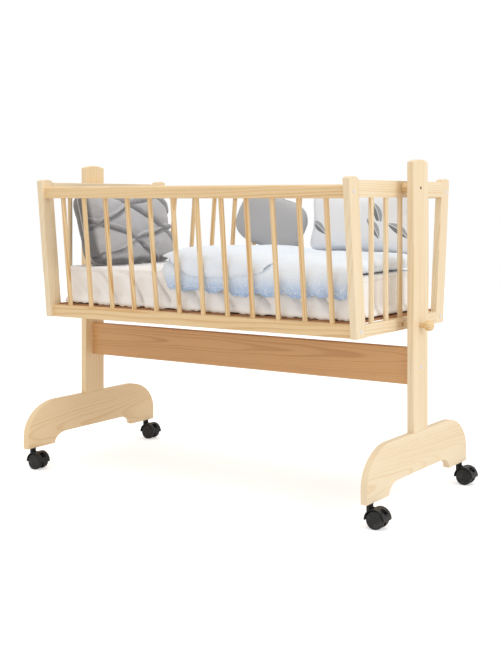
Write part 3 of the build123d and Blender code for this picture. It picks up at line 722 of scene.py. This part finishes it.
def make_mattress():
    """A foam mattress in a fitted sheet: drag folds down its sides and a gathered hem."""
    low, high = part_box("mattress")
    shape = bmesh.new()
    bmesh.ops.create_cube(shape, size=1.0)
    size = high - low
    for vertex in shape.verts:
        vertex.co = (low + high) / 2 + Vector([vertex.co[k] * (size[k] - 0.004) for k in range(3)])
    upper = [edge for edge in shape.edges if max(vertex.co.z for vertex in edge.verts) > high.z - 0.01]
    bmesh.ops.bevel(shape, geom=upper, offset=0.015, segments=4, profile=0.5, affect="EDGES")
    mesh = bpy.data.meshes.new("fitted_mattress")
    shape.to_mesh(mesh)
    shape.free()
    piece = link_piece("fitted_mattress", mesh, SHEET_CLOTH)
    remesh(piece, 0.0044)
    points = read_points(piece.data)
    normal = read_normals(piece.data)
    x, y, z = points.T
    depth = (high.z - z) / size.z
    side = np.clip((0.75 - np.abs(normal[:, 2])) * 2.5, 0, 1)
    drift = wander(points, 5.0, 3.0)
    fine = wander(points, 17.0, 6.0, 3)
    drag = x * 0.78 + (z - high.z) * 0.62 + 0.022 * drift
    share = np.abs((drag / 0.072) % 1.0 * 2 - 1)
    folds = 1 - 2.2 * np.clip(1 - share / 0.34, 0, 1) ** 1.4 + 0.8 * np.clip((share - 0.45) / 0.55, 0, 1)
    second = np.abs(((drag * 1.9 + 0.3 * z + 0.02 * fine) / 0.081) % 1.0 * 2 - 1)
    folds = folds + 0.45 * np.clip((second - 0.5) / 0.5, 0, 1)
    strength = np.clip((x + 0.40) / 0.12, 0.12, 1) * (0.5 + 0.5 * np.clip(drift + 0.7, 0, 1))
    strength = strength * np.clip(depth * 4, 0.15, 1) * (np.abs(normal[:, 1]) > 0.5)
    gathers = np.sin(2 * math.pi * (x + y) / 0.026 + 3 * drift) * np.clip((depth - 0.8) * 5, 0, 1)
    top = np.clip(normal[:, 2], 0, 1) * 0.0016 * wander(points, 14.0, 8.0)
    swell = side * 0.0065 * np.clip((depth - 0.72) * 5, 0, 1)
    relief = folds * strength
    level = np.clip((z - low.z - 0.003) / 0.020, 0.12, 1)
    shift = side * level * (0.0088 * (relief - 1.0) + 0.0008 * fine) + side * 0.0010 * gathers + top
    shift = np.clip(shift, -0.014, 0.0015) + swell
    shift[normal[:, 2] < -0.7] = 0
    # the fold attribute marks the fold valleys for the painted shade in the sheet's colour
    tone = piece.data.attributes.new("fold", "FLOAT", "POINT")
    tone.data.foreach_set("value", np.clip(-0.1 - relief * 0.9, 0, 1) * side * level)
    points = points + normal * shift[:, None]
    outside = np.clip((np.maximum(np.abs(points[:, 1]) - 0.1885, 0)) / 0.002, 0, 1)
    points[:, 2] -= 0.0038 * outside * np.clip((0.442 - z) / 0.010, 0, 1)
    write_points(piece.data, points)
    return piece


mattress = make_mattress()

# ---------------------------------------------------------------- quilt


def quilt_layer(name, rows, columns, point, thick, cell, cap):
    """A padded layer: point(s, t) is its middle surface and its outward side."""

    def skin(i, j):
        s = i / (rows - 1)
        half = columns
        t = j / (half - 1) if j < half else (2 * half - 1 - j) / (half - 1)
        spot, out = point(s, t)
        edge = min(1.0, 12 * min(t, 1 - t), 14 * min(s, 1 - s)) ** 0.5
        return spot + out * (thick(s, t) / 2 * edge * (1 if j < half else -1))

    mesh = close_up(grid_mesh(name, rows, 2 * columns, skin, closed_columns=True), 0.0004)
    shape = bmesh.new()
    shape.from_mesh(mesh)
    bmesh.ops.holes_fill(shape, edges=[e for e in shape.edges if e.is_boundary])
    bmesh.ops.recalc_face_normals(shape, faces=shape.faces)
    shape.to_mesh(mesh)
    shape.free()
    piece = link_piece(name, mesh, QUILT_CLOTH)
    remesh(piece, cell)
    smooth(piece, 9)
    puff(piece, cap, 1.6, 16)
    return smooth(piece, 4)


def over_the_edge(x, path, back, drop_at, height, out_by, round_by=0.016):
    """Place and outward side of a cloth that lies back to front, then falls over the mattress's edge."""
    if path < drop_at:
        return Vector((x, back - path, height)), Vector((0, 0, 1))
    bend = path - drop_at
    arc = round_by * math.pi / 2
    turn = min(bend / arc, 1.0) * math.pi / 2
    fall = max(bend - arc, 0)
    place = Vector((
        x,
        back - drop_at - round_by * math.sin(turn) - out_by * turn / (math.pi / 2),
        height - round_by * (1 - math.cos(turn)) - fall,
    ))
    return place, Vector((0, -math.sin(turn), math.cos(turn)))


def make_quilt():
    """The quilt: a main layer draped over the front edge, and its left end folded back on top."""
    low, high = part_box("quilt")
    bed_low, bed_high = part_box("mattress")
    front, top, back = bed_low.y, bed_high.z, high.y - 0.004

    def ripple(x, y, seed):
        broad = noise.noise(Vector((x * 6, y * 6, seed)))
        fold = noise.noise(Vector((x * 13 + 5 * y, y * 3 - 2 * x, seed + 4)))
        return 0.55 * broad + 0.45 * (1 - 2.4 * abs(fold))

    def lie(s, t):
        x = -0.104 + 0.530 * s
        tip = 0.012 * math.exp(-(((s - 0.06) / 0.05) ** 2))
        hem = tip - 0.004 * math.cos(7 * s) - 0.0015 * math.sin(23 * s)
        height = top + 0.019
        run = back - front + height - (high.z - 0.098) - 0.007 + 0.009 * s + hem
        place, out = over_the_edge(x, run * t, back, back - front - 0.012, height, 0.0022)
        hang = max(0.0, (top - place.z) / 0.06)
        place.x += 0.034 * hang * (1 - s) ** 5 - 0.006 * math.sin(17 * s + 2) * hang
        place += out * (0.004 * ripple(place.x, place.y, 0.3) * (1 - min(1.0, hang * 2)))
        place.y -= 0.0016 * math.sin(40 * s + 3 * hang) * min(1.0, hang)
        off = place.x - 0.350 + 0.4 * (place.z - top)
        bunch = math.exp(-((off / 0.008) ** 2)) - 0.5 * math.exp(-(((abs(off) - 0.017) / 0.009) ** 2))
        place += out * -0.007 * bunch * min(1.0, hang * 2)
        return place, out

    def loft(s, t):
        swell = 0.5 + 0.5 * ripple(s * 0.5, t * 0.4, 5.1)
        return 0.0085 if t > 0.80 else 0.0085 + (0.017 + 0.009 * swell) * min(1.0, (0.80 - t) / 0.09)

    main = quilt_layer("draped_quilt", 124, 92, lie, loft, 0.0046, 0.006)

    def fold_lie(s, t):
        x = -0.112 + 0.372 * s
        reach = back - front + 0.062 * math.sin(min(1.0, s / 0.32) * math.pi / 2) ** 1.6
        reach -= 0.060 * max(0.0, (s - 0.50) / 0.50) ** 1.6 + 0.10 * max(0.0, (s - 0.84) / 0.16) ** 1.4
        height = top + 0.041 - 0.022 * max(0.0, (s - 0.50) / 0.50) - 0.012 * max(0.0, 0.14 - s) / 0.14
        path = 0.03 + (reach - 0.03) * t
        place, out = over_the_edge(x, path, back, back - front - 0.008, height, 0.0035, 0.02)
        flat = min(1.0, max(0.0, (place.y - front) / 0.04))
        place += out * (0.0045 * ripple(place.x, place.y, 2.2) * flat)
        place.x += 0.012 * math.sin(6 * place.y + 1) * (1 - s)
        return place, out

    def fold_loft(s, t):
        body = 0.015 + 0.006 * ripple(s * 0.4, t * 0.4, 9.3)
        return min(body, 0.0085 + 0.05 * max(0.0, 0.93 - t)) * (1 - 0.55 * max(0.0, s - 0.5) / 0.5)

    fold = quilt_layer("folded_quilt", 90, 84, fold_lie, fold_loft, 0.0042, 0.005)
    return main, fold


quilt, quilt_fold = make_quilt()

# ---------------------------------------------------------------- piping and stitches


def path_mesh(name, points, closed):
    mesh = bpy.data.meshes.new(name)
    edges = [(i, i + 1) for i in range(len(points) - 1)]
    if closed:
        edges.append((len(points) - 1, 0))
    mesh.from_pydata([tuple(point) for point in points], edges, [])
    return mesh


def trim_tree(kind):
    """Geometry node tree that lays piping, or a row of stitches, along the edges it is given."""
    tree = bpy.data.node_groups.new(kind, "GeometryNodeTree")
    face = tree.interface
    face.new_socket("Path", in_out="INPUT", socket_type="NodeSocketGeometry")
    for label, value in (("Radius", 0.0008), ("Spacing", 0.006), ("Stitch", 0.0036)):
        face.new_socket(label, in_out="INPUT", socket_type="NodeSocketFloat").default_value = value
    face.new_socket("Finish", in_out="INPUT", socket_type="NodeSocketMaterial")
    face.new_socket("Trim", in_out="OUTPUT", socket_type="NodeSocketGeometry")

    def add(node_kind, **sockets):
        node = tree.nodes.new(node_kind)
        for key, value in sockets.items():
            target = node.inputs[key.replace("_", " ")]
            if isinstance(value, bpy.types.NodeSocket):
                tree.links.new(value, target)
            else:
                target.default_value = value
        return node

    given = tree.nodes.new("NodeGroupInput").outputs
    curve = add("GeometryNodeMeshToCurve", Mesh=given["Path"]).outputs[0]
    if kind == "piping":
        ring = add("GeometryNodeCurvePrimitiveCircle", Resolution=8, Radius=given["Radius"]).outputs[0]
        shape = add("GeometryNodeCurveToMesh", Curve=curve, Profile_Curve=ring).outputs[0]
    else:
        spread = add("GeometryNodeResampleCurve", Curve=curve)
        spread.mode = "LENGTH"
        tree.links.new(given["Spacing"], spread.inputs[3])
        stitch = add(
            "GeometryNodeMeshCylinder", Vertices=6, Radius=given["Radius"], Depth=given["Stitch"]
        ).outputs["Mesh"]
        along = tree.nodes.new("GeometryNodeInputTangent").outputs[0]
        turn = tree.nodes.new("FunctionNodeAlignEulerToVector")
        turn.axis = "Z"
        tree.links.new(along, turn.inputs["Vector"])
        shape = add(
            "GeometryNodeInstanceOnPoints",
            Points=spread.outputs[0],
            Instance=stitch,
            Rotation=turn.outputs[0],
        ).outputs[0]
    solid = add("GeometryNodeRealizeInstances", Geometry=shape).outputs[0]
    dressed = add("GeometryNodeSetMaterial", Geometry=solid, Material=given["Finish"]).outputs[0]
    end = tree.nodes.new("NodeGroupOutput")
    tree.links.new(dressed, end.inputs["Trim"])
    return tree


PIPING = trim_tree("piping")
STITCHES = trim_tree("stitches")


def lay_trim(name, tree, points, finish, closed=False, **sizes):
    """Run a trim tree along a path and keep the mesh that it makes."""
    piece = bpy.data.objects.new(name, path_mesh(name, points, closed))
    bpy.context.scene.collection.objects.link(piece)
    change = piece.modifiers.new("trim", "NODES")
    change.node_group = tree
    keys = {item.name: item.identifier for item in tree.interface.items_tree if item.in_out == "INPUT"}
    for label, value in sizes.items():
        change[keys[label]] = value
    change[keys["Finish"]] = finish
    bake_modifiers(piece)
    close_up(piece.data, 0.00002)
    return piece


def seam_of(piece, place, count=150):
    """The widest line round a cushion, a little inside its surface, as a smoothed loop."""
    points = read_points(piece.data)
    inside = np.array(place.inverted())
    local = points @ inside[:3, :3].T + inside[:3, 3]
    angle = np.arctan2(local[:, 1], local[:, 0])
    reach = np.hypot(local[:, 0], local[:, 1])
    order = ((angle / (2 * math.pi)) % 1.0 * count).astype(int)
    loop = np.zeros((count, 3))
    for k in range(count):
        near = np.where(order == k)[0]
        loop[k] = local[near[np.argmax(reach[near])]]
    for _ in range(3):
        loop = 0.5 * loop + 0.25 * (np.roll(loop, 1, axis=0) + np.roll(loop, -1, axis=0))
    loop[:, :2] *= 1.003
    return [place @ Vector(point) for point in loop]


def hem_path(piece, inset, low_x, high_x, count=180):
    """A line along the front of the quilt, inset above its hem, lying on its surface."""
    corners = [vertex.co for vertex in piece.data.vertices]
    tree = BVHTree.FromPolygons(corners, [face.vertices for face in piece.data.polygons])
    points = read_points(piece.data)
    path = []
    for k in range(count):
        x = low_x + (high_x - low_x) * k / (count - 1)
        near = points[(np.abs(points[:, 0] - x) < 0.006) & (points[:, 1] < -0.18)]
        if not len(near):
            continue
        start = Vector((x, -0.3, near[:, 2].min() + inset))
        spot, normal, _, _ = tree.ray_cast(start, Vector((0, 1, 0)), 0.2)
        if spot:
            path.append(spot + normal * 0.0002)
    return path


def trims():
    """Piping round the three cushions, and two rows of stitches along the quilt's hem."""
    thread = plastic("quilt_thread", (0.80, 0.86, 0.95, 1), (0.70, 0.78, 0.90, 1), 0.4)
    rows = []
    for name, cushion, place, material, radius, slot_name in (
        ("leaf_piping", leaf_pillow, LEAF_PLACE, LEAF_CLOTH, 0.0022, "leaf_print"),
        ("round_piping", plain_cushion, PLAIN_PLACE, GREY_COTTON, 0.0016, "grey_cotton"),
        ("tuck_piping", tuck_cushion, TUCK_PLACE, GREY_KNIT, 0.0016, "grey_knit"),
    ):
        piping = lay_trim(name, PIPING, seam_of(cushion, place), material, True, Radius=radius)
        rows.append((piping, slot_name))
    stitch = {"Radius": 0.0005, "Spacing": 0.0048, "Stitch": 0.003}
    for number, inset in enumerate((0.010, 0.013)):
        path = hem_path(quilt, inset, -0.05, 0.40)
        rows.append((lay_trim(f"hem_stitches_{number}", STITCHES, path, thread, **stitch), "blue_quilt"))
    for piece, slot_name in rows:
        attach(piece, "basket")


trims()

for piece, node, slot_name, fill in (
    (mattress, "mattress", "white_sheet", 0.9),
    (quilt, "quilt", "blue_quilt", 0.4),
    (quilt_fold, "quilt", "blue_quilt", 0.4),
    (tuck_cushion, "pintuck_cushion", "grey_knit", 0.6),
    (plain_cushion, "plain_cushion", "grey_cotton", 0.8),
    (leaf_pillow, "leaf_pillow", "leaf_print", 0.6),
):
    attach(piece, "basket")
    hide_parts(node)

# ---------------------------------------------------------------- floor, light and camera


def make_floor():
    """White floor that glows for the camera only, so that shadows stay faint."""
    mesh = grid_mesh("floor", 2, 2, lambda i, j: Vector((-6 + 12 * i, -6 + 12 * j, 0)))
    material, tree, surface, place = new_material(
        "floor_paper", Roughness=0.95, Specular_IOR_Level=0.1, Emission_Strength=0.42
    )
    mottle = put(tree, "TexNoise", {"Vector": place, "Scale": 3.0, "Detail": 2.0}).outputs["Fac"]
    color = blend_colors(tree, mottle, (0.93, 0.93, 0.93, 1), (0.90, 0.90, 0.90, 1))
    finish_surface(tree, surface, color)
    seen = put(tree, "LightPath").outputs["Is Camera Ray"]
    glow = blend_colors(tree, seen, (0, 0, 0, 1), (1, 1, 1, 1))
    tree.links.new(glow, surface.inputs["Emission Color"])
    floor = link_piece("floor", mesh, material)
    close_up(mesh)


def soft_light(name, place, aim, size, power, color=(1, 1, 1)):
    """A square lamp at place, turned to aim."""
    lamp = bpy.data.lights.new(name, "AREA")
    lamp.shape = "SQUARE"
    lamp.size = size
    lamp.energy = power
    lamp.color = color
    holder = bpy.data.objects.new(name, lamp)
    bpy.context.scene.collection.objects.link(holder)
    holder.location = place
    holder.rotation_euler = (Vector(aim) - Vector(place)).to_track_quat("-Z", "Y").to_euler()


def make_world(strength, color):
    """Plain white behind everything; the light it gives is softer and a little warm."""
    world = bpy.data.worlds.new("studio")
    bpy.context.scene.world = world
    world.use_nodes = True
    tree = world.node_tree
    tree.nodes.clear()
    light = tree.nodes.new("ShaderNodeBackground")
    light.inputs["Color"].default_value = color
    light.inputs["Strength"].default_value = strength
    backdrop = tree.nodes.new("ShaderNodeBackground")
    backdrop.inputs["Color"].default_value = (1, 1, 1, 1)
    seen = tree.nodes.new("ShaderNodeLightPath").outputs["Is Camera Ray"]
    mix = put(tree, "MixShader", {0: seen, 1: light.outputs[0], 2: backdrop.outputs[0]})
    output = tree.nodes.new("ShaderNodeOutputWorld")
    tree.links.new(mix.outputs[0], output.inputs["Surface"])


make_floor()
make_world(0.84, (1.0, 0.97, 0.94, 1))
soft_light("key", (3.6, -0.4, 1.9), (0, 0, 0.5), 1.8, 30, (0.95, 0.98, 1.0))
soft_light("top", (0.2, -0.2, 3.3), (0, 0, 0.5), 2.2, 26, (0.97, 0.99, 1.0))
soft_light("fill", (-0.6, -3.6, 1.5), (0, 0, 0.5), 2.4, 3, (1.0, 0.94, 0.88))

camera_data = bpy.data.cameras.new("camera")
camera_data.sensor_width = 36
camera_data.lens = 62.8
camera_data.shift_y = -0.204
camera = bpy.data.objects.new("camera", camera_data)
bpy.context.scene.collection.objects.link(camera)
camera.location = (1.660, -2.428, 0.698)
camera.rotation_euler = (math.radians(90), 0, math.radians(33.87))
bpy.context.scene.camera = camera
bpy.context.scene.view_settings.view_transform = "Standard"
